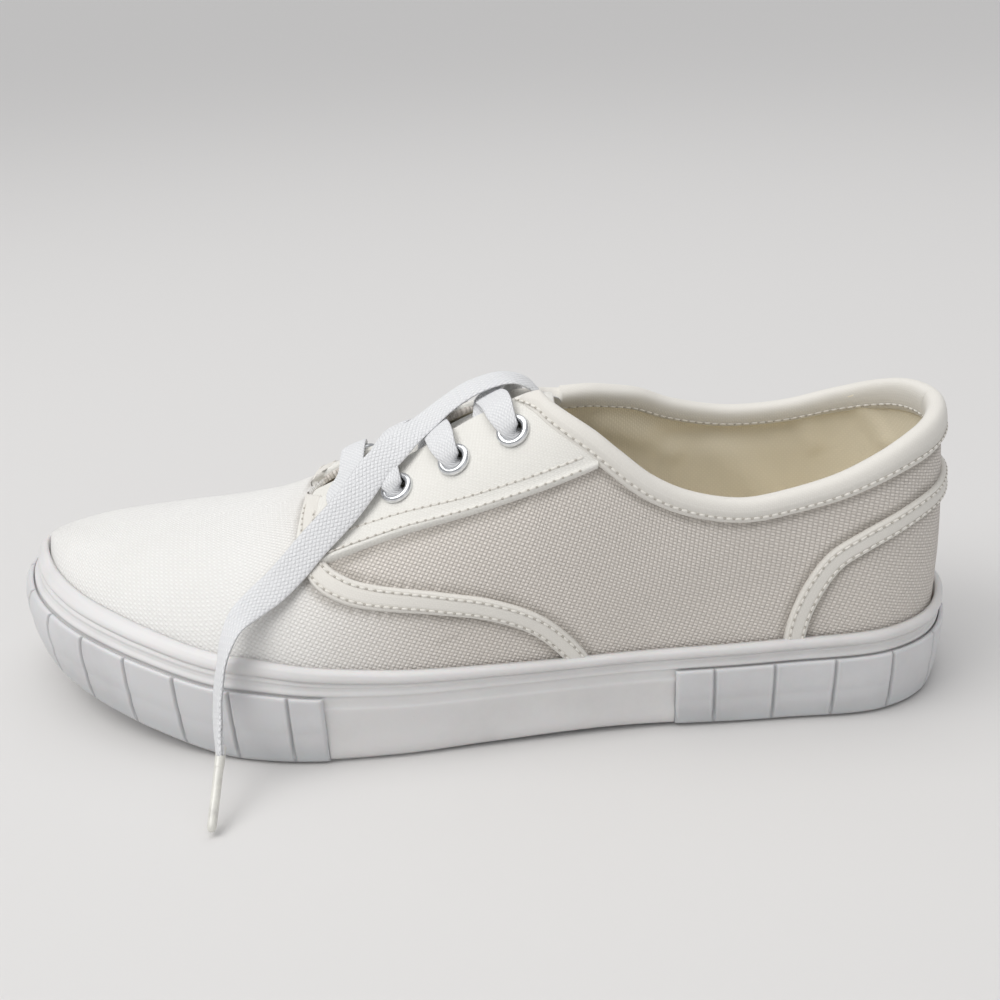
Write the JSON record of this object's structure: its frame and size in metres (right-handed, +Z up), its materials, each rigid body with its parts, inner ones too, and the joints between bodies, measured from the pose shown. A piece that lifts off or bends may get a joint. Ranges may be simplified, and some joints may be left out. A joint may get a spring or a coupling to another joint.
{
  "type": "canvas sneaker",
  "caption": "Low lace-up canvas shoe for the left foot, hollow and open at the collar, with a rubber sole, metal eyelets and a flat lace with one long free end.",
  "frame": {"origin": "on the floor, under the middle of the shoe's length and width", "axes": "+X toward the heel, +Y toward the inner side of the foot, +Z up"},
  "size_m": [0.2781, 0.1316, 0.0922],
  "materials": {
    "rubber": "satin white rubber",
    "canvas": "coarse off-white canvas",
    "strip": "smooth off-white cotton strip",
    "lining": "cream cotton lining",
    "lace": "woven white lace",
    "metal": "bright rolled metal",
    "plastic": "clear grey tube over the lace tip"
  },
  "bodies": {
    "root": {"outsole": "rubber", "sole_tape": "rubber", "toe_band": "rubber", "heel_band": "rubber", "insole": "lining", "upper": "canvas", "tongue": "canvas", "collar_binding": "strip", "counter_strip": "strip", "eyestay_outer": "canvas", "eyestay_inner": "canvas", "vamp_strip_outer": "strip", "vamp_strip_inner": "strip", "eyelet_outer_1": "metal", "eyelet_outer_2": "metal", "eyelet_outer_3": "metal", "eyelet_outer_4": "metal", "eyelet_inner_1": "metal", "eyelet_inner_2": "metal", "eyelet_inner_3": "metal", "eyelet_inner_4": "metal", "lace_crossing_1": "lace", "lace_crossing_2": "lace", "lace_crossing_3": "lace", "lace_bar": "lace", "lace_end": "lace", "aglet": "plastic"}
  },
  "joints": []
}
